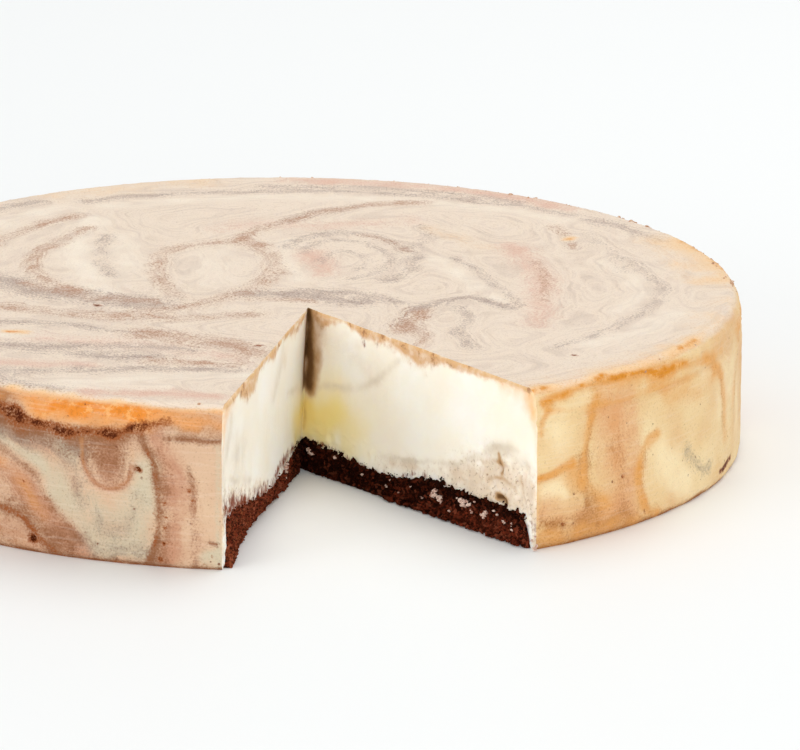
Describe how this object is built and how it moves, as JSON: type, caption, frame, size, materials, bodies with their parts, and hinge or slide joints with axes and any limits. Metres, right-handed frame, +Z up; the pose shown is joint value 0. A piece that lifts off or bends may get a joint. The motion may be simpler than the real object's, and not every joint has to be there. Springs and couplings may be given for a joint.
{
  "type": "marble cheesecake",
  "caption": "Round marble cheesecake with a slice cut out: tall swirled cream and brown filling with a browned upper edge, over a thin dark crumb base.",
  "frame": {"origin": "middle of the round cake on the flat underside that it rests on", "axes": "+Z up, -Y towards the front where the slice is missing, +X to the right seen from the front"},
  "size_m": [0.2278, 0.2271, 0.039],
  "materials": {
    "cocoa_crumb": "dry, craggy baked crumb",
    "marbled_filling": "soft baked cream with fine bubbles"
  },
  "bodies": {
    "root": {"crumb_base": "cocoa_crumb", "cheesecake_filling": "marbled_filling"}
  },
  "joints": []
}
